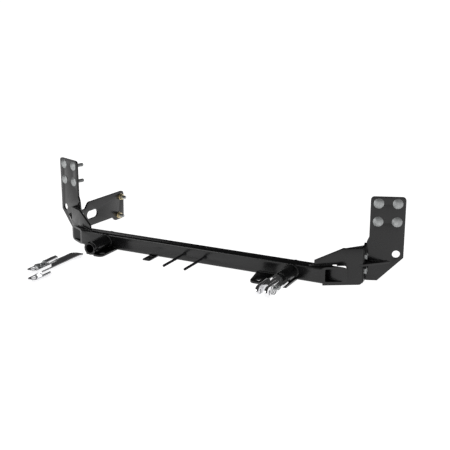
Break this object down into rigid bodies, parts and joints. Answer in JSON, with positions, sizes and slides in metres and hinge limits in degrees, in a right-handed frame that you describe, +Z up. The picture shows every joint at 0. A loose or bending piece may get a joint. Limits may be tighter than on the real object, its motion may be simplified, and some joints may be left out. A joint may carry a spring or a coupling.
{
  "type": "tow-bar base plate",
  "caption": "Crossbar base plate with rail flanges, side arms and removable twist-lock fork arms, bolted to a towed vehicle's frame so a tow bar can be pinned on.",
  "frame": {"origin": "midway between the two four-bolt rail patterns, on the mid-plane", "axes": "+X to the right seen from the front, +Y towards the rear of the bracket, +Z up"},
  "size_m": [1.2098, 0.7366, 0.254],
  "materials": {
    "powder_coat": "satin black powder coat with a fine orange-peel",
    "chrome": "bright chrome plate",
    "bright_zinc": "clear zinc plate, slightly dull",
    "yellow_zinc": "yellow passivated zinc",
    "black_oxide": "black oxide threaded rod",
    "spring_steel": "oiled spring wire"
  },
  "bodies": {
    "base_plate": {"crossbar_tube": "powder_coat", "front_studs": "black_oxide", "plug_bracket_tab": "powder_coat", "left_wing_plate": "powder_coat", "left_top_gusset": "powder_coat", "left_mid_gusset": "powder_coat", "left_rail_flange_plate": "powder_coat", "left_side_arm_plate": "powder_coat", "left_carriage_bolts": "bright_zinc", "left_side_arm_bolts": "bright_zinc", "left_side_arm_washers": "yellow_zinc", "left_side_arm_nuts": "yellow_zinc", "left_bracket_bolts": "bright_zinc", "left_bracket_washers": "bright_zinc", "left_bracket_nuts": "bright_zinc", "left_receiver_tube": "powder_coat", "left_safety_chain_plate": "powder_coat", "right_wing_plate": "powder_coat", "right_top_gusset": "powder_coat", "right_mid_gusset": "powder_coat", "right_rail_flange_plate": "powder_coat", "right_side_arm_plate": "powder_coat", "right_carriage_bolts": "bright_zinc", "right_side_arm_bolts": "bright_zinc", "right_side_arm_washers": "yellow_zinc", "right_side_arm_nuts": "yellow_zinc", "right_bracket_bolts": "bright_zinc", "right_bracket_washers": "bright_zinc", "right_bracket_nuts": "bright_zinc", "right_receiver_tube": "powder_coat", "right_safety_chain_plate": "powder_coat"},
    "left_arm": {"left_arm_bar": "chrome", "left_plunger_tine": "chrome", "left_plain_tine": "chrome", "left_plunger_housing": "chrome", "left_plunger_cap": "bright_zinc", "left_plunger_spring": "spring_steel"},
    "left_plunger": {"left_plunger_pin": "bright_zinc", "left_pull_ring": "bright_zinc"},
    "right_arm": {"right_arm_bar": "chrome", "right_plunger_tine": "chrome", "right_plain_tine": "chrome", "right_plunger_housing": "chrome", "right_plunger_cap": "bright_zinc", "right_plunger_spring": "spring_steel"},
    "right_plunger": {"right_plunger_pin": "bright_zinc", "right_pull_ring": "bright_zinc"}
  },
  "joints": [
    {"name": "left_arm_slide", "type": "slide", "parent": "base_plate", "child": "left_arm", "axis": [0, 1, 0], "range_m": [0, 0.172]},
    {"name": "right_arm_twist", "type": "hinge", "parent": "base_plate", "child": "right_arm", "pos_m": [0.321, -0.1996, -0.1699], "axis": [0, -1, 0], "range_deg": [0, 90]},
    {"name": "left_plunger_pull", "type": "slide", "parent": "left_arm", "child": "left_plunger", "axis": [0, -1, 0], "range_m": [0, 0.012], "stiffness_N_per_m": 600, "springref_m": -0.015, "deforming": ["left_plunger_spring"]},
    {"name": "right_plunger_pull", "type": "slide", "parent": "right_arm", "child": "right_plunger", "axis": [0, -1, 0], "range_m": [0, 0.012], "stiffness_N_per_m": 600, "springref_m": -0.015, "deforming": ["right_plunger_spring"]}
  ]
}
